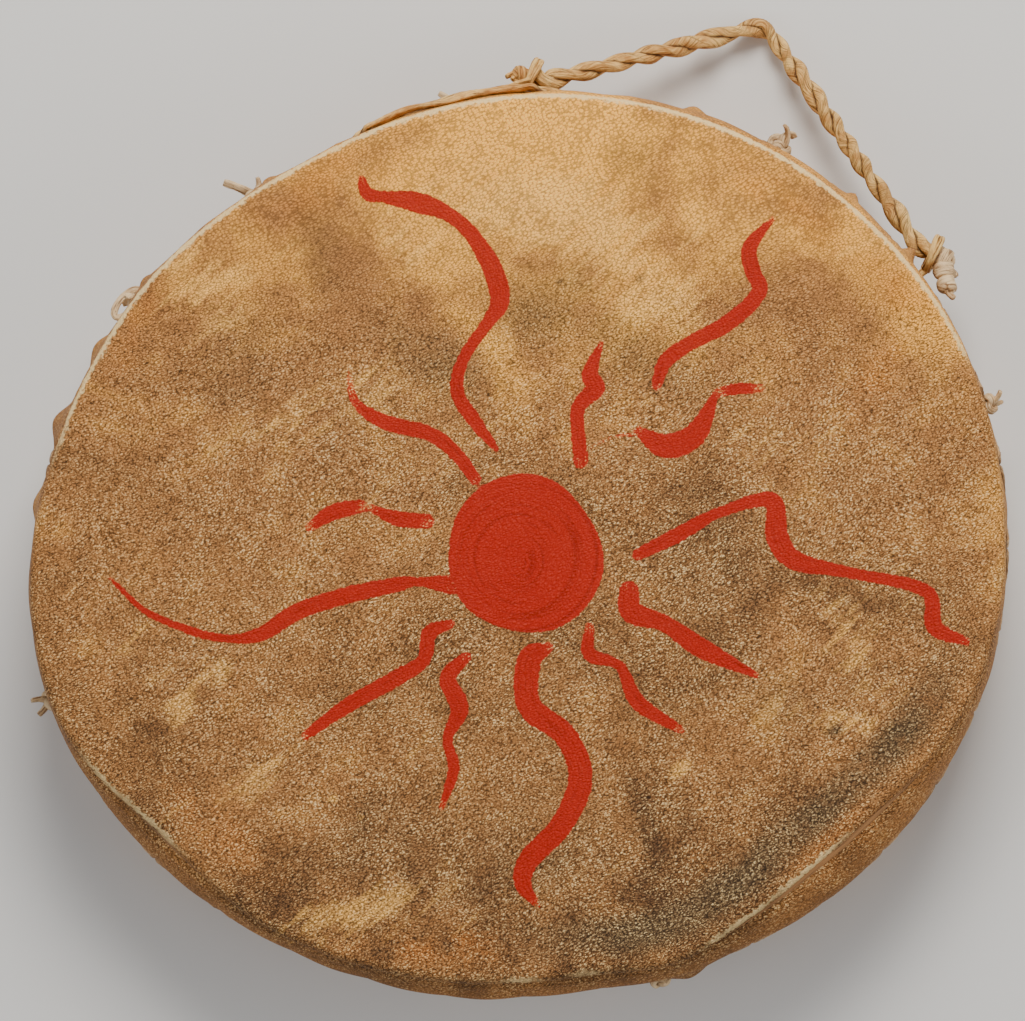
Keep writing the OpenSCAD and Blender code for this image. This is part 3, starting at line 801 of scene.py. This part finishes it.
def makeHoop():
    # One bent strip whose thinned ends lie on each other
    z0, z1 = drum["hideOut"], drum["depth"] - drum["hideOut"]
    c, thick, count = hoop["chamfer"], drum["woodThick"], hoop["segments"]
    shoulder = z1 - c - hoop["shoulder"]
    outline = [(-c, z0), (0, z0 + c), (0, drum["mid"]), (0, shoulder), (0, z1 - c), (-c, z1),
               (-thick + c, z1), (-thick, z1 - c), (-thick, shoulder), (-thick, drum["mid"]),
               (-thick, z0 + c), (-thick + c, z0)]
    half = hoop["scarfReach"] / 2
    angle = hoop["scarfAt"] + np.linspace(-half, 360 + half, count)
    t = np.linspace(0, 1, count)
    share = hoop["scarfReach"] / 360
    # the inner lip grows to full thickness, and the outer lip thins to the end
    startThin = ease(t, 0.0, share)
    endThin = 1 - ease(t, 1 - share, 1.0)
    points, strip = [], []
    girth = np.linspace(0, 70, len(outline))
    for n in range(count):
        for (up, z), g in zip(outline, girth):
            depth = -up / thick
            if startThin[n] < 1:
                up = -thick + (thick - hoop["gap"]) * startThin[n] * (1 - depth)
            if endThin[n] < 1:
                up = -(thick - hoop["gap"]) * endThin[n] * depth
            points.append(wall(angle[n] % 360, up, z))
            strip.append((t[n] * hoop["length"], z if depth < 0.5 else z + 90, g))
    faces = ringFaces(count, len(outline))
    points = np.array(points)
    faces = outwardFaces(points, faces)
    piece = addMesh("woodHoop", points, faces, hoopWood, {"strip": np.array(strip)}, smooth=False)
    bevel = piece.modifiers.new("edges", "BEVEL")
    bevel.width = hoop["bevel"] * mm
    bevel.segments = 2
    bevel.limit_method = "ANGLE"
    return piece


woodHoop = makeHoop()
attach(woodHoop, "drum")
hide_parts("hoop")
print("hoop made")


# The thong, its runs and where, counted in lacing holes, one length is knotted to the next
lacing = {
    "wide": 3.7, "thick": 1.05, "above": 0.75, "knotAt": [2, 6, 10, 13, 15, 20, 29], "knotShift": 0.25,
    "stops": 15, "step": 1.3, "bow": 0.03, "arch": 0.25, "dip": 0.35, "hole": 0.012, "sink": 0.4,
}


def makeRun(bundle, fromPlace, fromZ, toPlace, toZ, diveStart=True, diveEnd=True):
    # one run of thong over the wall, dipping into a hole at either end
    s = lacing
    lift = drum["hideOut"] + s["above"]
    share = np.linspace(0, 1, s["stops"])
    bow = rng.normal(0, s["bow"])
    place = fromPlace + (toPlace - fromPlace) * share + bow * np.sin(math.pi * share)
    z = fromZ + (toZ - fromZ) * share
    up = np.full(s["stops"], lift) + s["arch"] * np.sin(math.pi * share)
    for dives, end, nextTo in ((diveStart, 0, 1), (diveEnd, -1, -2)):
        if dives:
            up[end], up[nextTo] = drum["fitGap"] - 0.1, lift - s["dip"]
            forward = 1 if end else -1
            place[end] = place[nextTo] + s["hole"] * forward * np.sign(toPlace - fromPlace)
            z[end] = z[nextTo] + s["sink"] * forward * np.sign(toZ - fromZ)
    path = evenly(wall(place * laceStep, up, z), s["step"])
    out = outAt((fromPlace + toPlace) / 2 * laceStep)
    t = np.linspace(0, 1, len(path))
    wide = s["wide"] * (1 + 0.12 * np.sin(t * 7 + rng.uniform(0, 6)) + 0.05 * rng.normal(size=len(t)))
    wide = wide * (0.72 + 0.28 * np.sin(math.pi * np.clip(t, 0.08, 0.92)))
    thick = s["thick"] * (1 + 0.1 * rng.normal(size=len(t)))
    twist = 0.12 * np.sin(t * 5 + rng.uniform(0, 6))
    # painted shade near both ends, where the thong dives into its holes
    hollowShade = 1 - ease(np.minimum(t, 1 - t), 0.0, 0.12)
    bundle.addStrip(path, out, wide, thick, hollowShade, twist=twist, flat=3.2, rough=0.05)


def makeLacing(i):
    bundle = Bundle()
    knots, shift = lacing["knotAt"], lacing["knotShift"]
    start = knots[i]
    following = knots[i + 1] if i + 1 < len(knots) else knots[0] + drum["laceHoles"]
    front, back = drum["frontHoleZ"], drum["backHoleZ"]
    makeRun(bundle, start - shift, drum["mid"], start, front, diveStart=False)
    for k in range(start, following):
        makeRun(bundle, k, front, k + 0.5, back)
        if k > start:
            makeRun(bundle, k - 0.5, back, k, front)
    makeRun(bundle, following - 0.5, back, following - shift, drum["mid"], diveEnd=False)
    piece = bundle.build("lacing%d" % (i + 1), lacingHide)
    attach(piece, "drum")
    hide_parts("lacing_%d" % (i + 1))


for i in range(len(lacing["knotAt"])):
    makeLacing(i)
print("lacing made")


# Loose ends of each lacing knot: length, lean from the wall's facing, turn about it, curl and width
knotTails = [
    [(5, 30, 60, 40, 2.2), (4, 40, 250, 30, 2.0)],
    [(8, 15, 120, 70, 3.0), (9, 35, 20, -150, 3.2)],
    [(9, 62, 15, -20, 2.4), (4, 50, 200, 40, 2.4)],
    [(10, 30, 5, 12, 3.4), (5, 60, 200, 60, 2.8)],
    [(6, 60, 100, 60, 3.2), (5, 55, 300, 50, 2.8)],
    [(5, 25, 170, 30, 2.6), (5, 45, 20, -30, 2.4)],
    [(3, 75, 90, 40, 2.6), (3, 75, 270, 40, 2.4)],
]
# knots with a slack loop: its rise, reach and tilt
openLoops = {4: (2.6, 6.2, 15), 1: (2.2, 3.0, -40)}
knot = {"up": 4.0, "size": 0.98, "wide": 3.1, "thick": 1.7, "flatten": 0.9, "tailFrom": 1.5,
        "slackWide": 2.4, "slackThick": 1.3, "slackShift": 3.0}


def knotFrame(angle, up, z):
    out = outAt(angle)
    along = np.array([-out[1], out[0], 0])
    return wall(angle, up, z), out, along, np.array([0, 0, 1.0])


def trefoil(size, steps=90):
    # the line of an overhand knot, its two ends apart
    t = np.linspace(0.25, 2 * math.pi - 0.05, steps)
    x, y = np.sin(t) + 2 * np.sin(2 * t), np.cos(t) - 2 * np.cos(2 * t)
    return np.stack([x, y, -1.1 * np.sin(3 * t)], 1) * size


def curledPath(start, way, bendWay, length, curl, steps=20):
    turn = math.radians(curl) * np.linspace(0, 1, steps)[:, None]
    way = unit(way)
    bendWay = unit(bendWay - way * (bendWay @ way))
    steps = (way * np.cos(turn) + bendWay * np.sin(turn)) * length / steps
    return start + np.vstack([np.zeros(3), np.cumsum(steps, 0)]), bendWay


def addTail(bundle, start, way, bendWay, length, curl, wide, thick=1.35):
    # a loose end of hide, cut blunt, thicker where it leaves the knot and darkened there with painted shade
    path, side = curledPath(start, way, bendWay, length, curl)
    t = np.linspace(0, 1, len(path))
    over = np.cross(np.gradient(path, axis=0), np.cross(way, side))
    wide = wide * (1 - 0.28 * t ** 3) * (1 + 0.08 * np.sin(t * 9))
    bundle.addStrip(path, over, wide, thick * (1.15 - 0.3 * t), 0.45 * (1 - t) ** 2,
                    twist=t * rng.uniform(-0.6, 0.6), flat=3.0, rough=0.05)


def addTangle(bundle, centre, axes, size, wide, thick):
    # a strip pulled into an overhand knot
    path = evenly(trefoil(size) @ np.array(axes) + centre, 0.6)
    spread = path - centre
    reach = np.linalg.norm(spread, axis=1)
    # painted shade, darker towards the knot's middle
    hollowShade = 0.55 * (1 - ease(reach, 1.2 * size, 3.0 * size))
    bundle.addStrip(path, spread / reach[:, None], wide, thick, hollowShade, flat=2.8, rough=0.05)


def makeLacingKnot(i):
    s = lacing
    angle = (s["knotAt"][i] - s["knotShift"]) * laceStep
    centre, out, along, up = knotFrame(angle, knot["up"], drum["mid"])
    bundle = Bundle()
    addTangle(bundle, centre, [along, up, out * knot["flatten"]], knot["size"], knot["wide"], knot["thick"])
    for length, lean, turn, curl, wide in knotTails[i]:
        way = out * cosd(lean) + sind(lean) * (along * cosd(turn) + up * sind(turn))
        addTail(bundle, centre + way * knot["tailFrom"], way, along * 0.8 + up * 0.6, length, curl, wide)
    if i in openLoops:
        rise, reach, tilt = openLoops[i]
        side = along * cosd(tilt) + up * sind(tilt)
        a = np.linspace(-2.6, 2.6, 40)[:, None]
        path = centre + out * (rise - 0.8) + out * rise * np.cos(a) \
            + side * (reach * np.sin(a) + knot["slackShift"])
        bundle.addStrip(path, np.cross(out, side), knot["slackWide"], knot["slackThick"], 0.1,
                        flat=2.8, rough=0.05)
    piece = bundle.build("lacingKnot%d" % (i + 1), knotHide)
    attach(piece, "drum")
    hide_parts("lacing_knot_%d" % (i + 1))


for i in range(len(lacing["knotAt"])):
    makeLacingKnot(i)


tieStrap = {"wide": 3.3, "thick": 1.7, "from": 86.0, "to": 113.5, "up": 2.9, "z": 51.0, "points": 60,
            "apart": 1.7, "tuck": 2.4}


def makeTieStrap():
    # flat strap along the rim: three strips that overlap, tucked in at both ends
    s = tieStrap
    bundle = Bundle()
    for side, lag in ((-1, 0.0), (1, 1.6), (0.2, 3.0)):
        angle = np.linspace(s["from"] + lag, s["to"] - lag, s["points"])
        t = np.linspace(0, 1, s["points"])
        tucked = 1 - ease(np.minimum(t, 1 - t), 0, 0.06)
        up = s["up"] + (0.6 + (abs(side) < 1)) * np.sin(math.pi * t) ** 0.5
        up = up + 0.3 * np.sin(t * 19 + side) - s["tuck"] * tucked
        z = s["z"] + side * s["apart"] + 0.7 * np.sin(t * 8 + side)
        # painted shade at both tucked ends
        hollowShade = 1 - ease(np.minimum(t, 1 - t), 0, 0.08)
        bundle.addStrip(wall(angle, up, z), outAt(angle), s["wide"], s["thick"], hollowShade,
                        twist=0.5 * np.sin(t * 9 + side), flat=2.6, rough=0.05)
    piece = bundle.build("tieStrap", cordHide)
    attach(piece, "drum")
    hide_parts("tie_strap")


makeTieStrap()
print("knots made")


joint = frame["joints"][0]
loop = {
    "reach": 58.3, "lean": 10.5, "span": 147.507, "lead": 4.5, "start": 1.8, "sideBend": 5.0, "peakBend": 6.0,
    "plyRadius": 2.0, "plyOffset": 1.35, "pitch": 23.0, "sides": 22, "step": 0.8, "halfHeight": 3.9,
    "gap": 0.1,
}
axisAt = np.array(joint["pos_m"]) / mm
axisWay = unit(np.array(joint["axis"]))
axisOut = np.array([-axisWay[1], axisWay[0], 0])
droop = math.asin((drum["mid"] - loop["halfHeight"] - loop["gap"]) / loop["reach"])
loopOut = axisOut * math.cos(droop) - np.array([0, 0, 1]) * math.sin(droop)
loopSide = np.cross(axisWay, loopOut)


def bendAt(p0, p1, p2, r, steps=8):
    a, b = unit(p0 - p1), unit(p2 - p1)
    half = math.acos(float(a @ b)) / 2
    centre = p1 + unit(a + b) * r / math.sin(half)
    first = p1 + a * r / math.tan(half) - centre
    sweep = math.copysign(math.pi - 2 * half, float(-a[0] * b[1] + a[1] * b[0]))
    start = math.atan2(first[1], first[0])
    return [centre + r * np.array([math.cos(start + sweep * k / steps), math.sin(start + sweep * k / steps)])
            for k in range(steps + 1)]


def loopRoute():
    # the cord's middle line, flat, with the swing axis along x
    s = loop
    ends = [np.array([-s["start"], 0.0]), np.array([s["span"] + s["start"], 0.0])]
    corners = [np.array([s["lead"], 0.0]), np.array([s["span"] - s["lead"], 0.0])]
    peak = np.array([s["span"] / 2 - s["lean"], s["reach"]])
    route = [ends[0]] + bendAt(ends[0], corners[0], peak, s["sideBend"]) \
        + bendAt(corners[0], peak, corners[1], s["peakBend"]) \
        + bendAt(peak, corners[1], ends[1], s["sideBend"]) + [ends[1]]
    return np.array(route)


def inLoop(flat):
    return axisAt + flat[..., :1] * axisWay + flat[..., 1:2] * loopOut


def makeCord():
    s = loop
    middle = inLoop(evenly(loopRoute(), s["step"], 2))
    ahead = unit(np.gradient(middle, axis=0))
    inPlane = np.cross(loopSide, ahead)
    run = runAlong(middle)
    a = np.linspace(0, 2 * np.pi, s["sides"], endpoint=False)
    bundle = Bundle()
    swell = 1 + 0.07 * np.sin(run * 0.11 + 1) + 0.05 * np.sin(run * 0.31)
    for phase in (0.0, math.pi):
        turn = 2 * math.pi * run / s["pitch"] + phase + 0.9 * np.sin(run * 0.045) + 0.35 * np.sin(run * 0.13)
        radius = s["plyRadius"] * swell * (1 + 0.05 * np.sin(run * 0.23 + phase * 2))
        way = np.cos(turn)[:, None] * inPlane + np.sin(turn)[:, None] * loopSide
        cross = np.cos(turn)[:, None] * loopSide - np.sin(turn)[:, None] * inPlane
        centre = middle + way * (s["plyOffset"] * swell)[:, None]
        own = a[None, :] + 2 * math.pi * run[:, None] / (s["pitch"] * 0.8)
        ridge = 1 + 0.07 * np.sin(3 * own + phase) + 0.035 * np.sin(7 * own + 2) + 0.02 * np.sin(13 * own)
        r = radius[:, None] * ridge
        points = centre[:, None] + r[..., None] * (np.cos(a)[None, :, None] * way[:, None]
                                                   + np.sin(a)[None, :, None] * cross[:, None])
        # painted shade on the side of each ply that faces the other, and in the grooves between its ridges
        inward = ease(-np.cos(a), 0.1, 0.95)[None, :] * np.ones((len(run), 1))
        grooveShade = ease(1 - ridge, 0.02, 0.09) * 0.5
        strip = np.stack(np.broadcast_arrays(run[:, None], own * radius[:, None], 0 * r), -1)
        bundle.add(len(run), s["sides"], points.reshape(-1, 3), strip.reshape(-1, 3),
                   np.clip(inward + grooveShade, 0, 1).ravel())
    piece = bundle.build("loopCord", cordHide)
    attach(piece, "handle")
    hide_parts("handle_ply_a", "handle_ply_b")
    return float(run[-1])


cordLength = makeCord()


def wrapTurns(bundle, start, way, side, over, turns, radius, advance, wide, thick):
    # a strip wound round and round along way
    t = np.linspace(0, 1, int(26 * turns))
    a = 2 * math.pi * turns * t
    swell = radius * (0.9 + 0.22 * np.sin(math.pi * t))
    out = side * np.cos(a)[:, None] + over * np.sin(a)[:, None]
    path = start + way * (advance * t)[:, None] + out * swell[:, None]
    # painted shade that comes and goes round each turn
    bundle.addStrip(path, out, wide, thick, 0.15 + 0.15 * np.sin(a * 2), sides=10, flat=2.6, rough=0.06)


stopper = {"pitch": 2.35, "wide": 3.3, "thick": 1.9, "tangle": 0.32, "tangleWide": 3.2, "tangleThick": 2.4,
           "tailThick": 1.5}


def makeStopper(name, node, finish, lumps, tails):
    # strips wound tight round the cord's end, with loose ends; lumps are start, way, radius and turns
    s = stopper
    bundle = Bundle()
    for start, way, radius, turns in lumps:
        way = unit(way)
        over = unit(np.cross(way, loopOut))
        side = np.cross(over, way)
        wrapTurns(bundle, start, way, side, over, turns, radius, s["pitch"] * turns, s["wide"], s["thick"])
        addTangle(bundle, start + way * 1.3 * turns, [way, side, over], radius * s["tangle"],
                  s["tangleWide"], s["tangleThick"])
    for start, way, bendWay, length, curl, wide in tails:
        addTail(bundle, start, way, bendWay, length, curl, wide, s["tailThick"])
    piece = bundle.build(name, finish)
    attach(piece, "handle")
    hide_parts(node)


leftEnd, rightEnd = inLoop(np.array([[-loop["start"], 0.0], [loop["span"] + loop["start"], 0.0]]))
makeStopper("loopKnotLeft", "handle_knot_left", cordHide,
            [(leftEnd - axisWay * 0.3 - loopOut * 0.8, -axisWay - loopOut * 0.45, 2.4, 1.3)],
            [(leftEnd - axisWay * 2, -axisWay - loopOut * 0.6, -loopOut, 6, 30, 2.6),
             (leftEnd - axisWay * 2 - loopOut, -axisWay - loopOut * 0.8, -loopOut, 4, 40, 2.2)])
makeStopper("loopKnotRight", "handle_knot_right", knotHide,
            [(rightEnd + axisWay * 0.2, axisWay - loopOut * 0.2, 3.0, 1.6),
             (rightEnd + axisWay * 3.5 - loopOut * 3.2, axisWay * 0.4 - loopOut, 2.7, 1.5),
             (rightEnd + axisWay * 6.0 - loopOut * 8.0, axisWay * 0.6 - loopOut, 2.3, 1.3)],
            [(rightEnd + axisWay * 7.5 - loopOut * 11, axisWay - loopOut, loopSide, 5, 50, 2.4),
             (rightEnd + axisWay * 5 - loopOut * 3, axisWay, -loopOut, 4, 50, 2.4)])


eye = {"radius": 6.0, "wide": 1.9, "thick": 1.5, "apart": 0.8, "stemIn": 2.0, "stemWide": 2.6,
       "stemThick": 1.6, "legWide": 3.6, "legThick": 1.6}


def makeEye(name, node, along, place, legs=()):
    # a thong passed twice through the wall and round the cord
    bundle = Bundle()
    centre = axisAt + axisWay * along
    up = np.array([0, 0, 1.0])
    a = np.linspace(0, 2 * math.pi, 60)[:, None]
    out = np.cos(a) * axisOut + np.sin(a) * up
    for lay in (-1, 1):
        ring = centre + eye["radius"] * out + axisWay * lay * (0.7 + 0.3 * np.sin(2 * a))
        bundle.addStrip(ring, out, eye["wide"], eye["thick"], 0.3, flat=2.4, rough=0.04)
    way = outAt(place * laceStep)
    foot = wall(place * laceStep, -eye["stemIn"], drum["mid"])
    t = np.linspace(0, 1, 14)[:, None]
    for side in (-eye["apart"], eye["apart"]):
        path = foot + way * t * (drum["hideOut"] + eye["radius"]) + up * side
        # painted shade, darker where the stems leave the wall
        bundle.addStrip(path, up, eye["stemWide"], eye["stemThick"], 0.5 - 0.4 * t[:, 0],
                        flat=2.4, rough=0.05)
    for leg in legs:
        leg = smoothPath(leg, 1.0)
        n = np.linspace(0, 1, len(leg))
        wide = eye["legWide"] * (1 - 0.3 * n ** 4)
        bundle.addStrip(wall(*leg.T), outAt(leg[:, 0]), wide, eye["legThick"],
                        # painted shade, darker towards the leg's far end
                        0.35 * n ** 2, twist=0.5 * np.sin(n * 7), flat=2.6, rough=0.05)
    piece = bundle.build(name, cordHide)
    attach(piece, "drum")
    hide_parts(node)


# two legs of the left eye's thong run on along the rim: angle, height and level of their points
makeEye("loopEyeLeft", "handle_eye_left", 0.0, 9,
        [[(89.4, 9.2, 38.2), (91.0, 7.6, 40.0), (94.0, 4.6, 45.0), (98.0, 3.6, 50.0), (103.0, 3.2, 53.0)],
         [(84.5, 3.2, 42.0), (87.0, 4.6, 41.5), (91.0, 4.6, 46.0), (96.0, 3.8, 49.0), (101.0, 3.0, 51.0)]])
makeEye("loopEyeRight", "handle_eye_right", loop["span"], 3.5)

frame["nodes"]["scarf_stitches"].material_slots[0].material = stitchHide
print("carrying loop made, cord %.1f mm" % cordLength)


stage = {
    "half": 4, "drop": 0.0002, "grey": ((0.72, 0.71, 0.69), (0.76, 0.75, 0.73)), "rough": 0.8,
    "air": (0.85, 0.88, 0.92, 1), "airStrength": 0.3, "lightsAim": (0, 0, 0.03),
}
# name, place, size, power and colour
lights = [
    ("keyLight", (0.13, 1.0, 1.15), 0.7, 25.0, (1.0, 0.96, 0.9)),
    ("fillLight", (-1.3, -0.6, 1.3), 1.4, 9.5, (0.97, 0.98, 1.0)),
    ("rimLight", (1.4, -0.4, 0.9), 1.2, 8, (1.0, 0.98, 0.95)),
]
view = {
    "aim": (-0.0040, 0.0123, 0.050), "distance": 2.2, "tilt": 3.4, "side": -62, "width": 0.3417, "sensor": 36,
}


def makeFloor():
    material, tree, shader = newMaterial("floorPaper")
    place = put(tree, "TexCoord").outputs["Object"]
    tree.links.new(blendColour(tree, speckle(tree, place, 3.0), *stage["grey"]), shader.inputs["Base Color"])
    shader.inputs["Roughness"].default_value = stage["rough"]
    h = stage["half"]
    mesh = bpy.data.meshes.new("floor")
    mesh.from_pydata([(-h, -h, 0), (h, -h, 0), (h, h, 0), (-h, h, 0)], [], [(0, 1, 2, 3)])
    mesh.materials.append(material)
    floor = bpy.data.objects.new("floor", mesh)
    floor.location.z = -stage["drop"]
    bpy.context.scene.collection.objects.link(floor)


def addArea(name, place, size, power, colour):
    light = bpy.data.lights.new(name, "AREA")
    light.size, light.energy, light.color = size, power, colour
    lamp = bpy.data.objects.new(name, light)
    lamp.location = place
    aim = Vector(stage["lightsAim"]) - Vector(place)
    lamp.rotation_euler = aim.to_track_quat("-Z", "Y").to_euler()
    bpy.context.scene.collection.objects.link(lamp)


def addWorld():
    world = bpy.data.worlds.new("room")
    world.use_nodes = True
    air = world.node_tree.nodes["Background"].inputs
    air["Color"].default_value = stage["air"]
    air["Strength"].default_value = stage["airStrength"]
    bpy.context.scene.world = world


def addCamera():
    tilt, side = view["tilt"], view["side"]
    back = Vector((sind(tilt) * cosd(side), sind(tilt) * sind(side), cosd(tilt)))
    data = bpy.data.cameras.new("camera")
    data.sensor_width = view["sensor"]
    data.lens = view["sensor"] * view["distance"] / view["width"]
    camera = bpy.data.objects.new("camera", data)
    camera.location = Vector(view["aim"]) + back * view["distance"]
    right = Vector((1, 0, 0))
    right = (right - back * right.dot(back)).normalized()
    camera.rotation_euler = Matrix((right, back.cross(right), back)).transposed().to_euler()
    bpy.context.scene.collection.objects.link(camera)
    bpy.context.scene.camera = camera


makeFloor()
for light in lights:
    addArea(*light)
addWorld()
addCamera()
print("stage made")
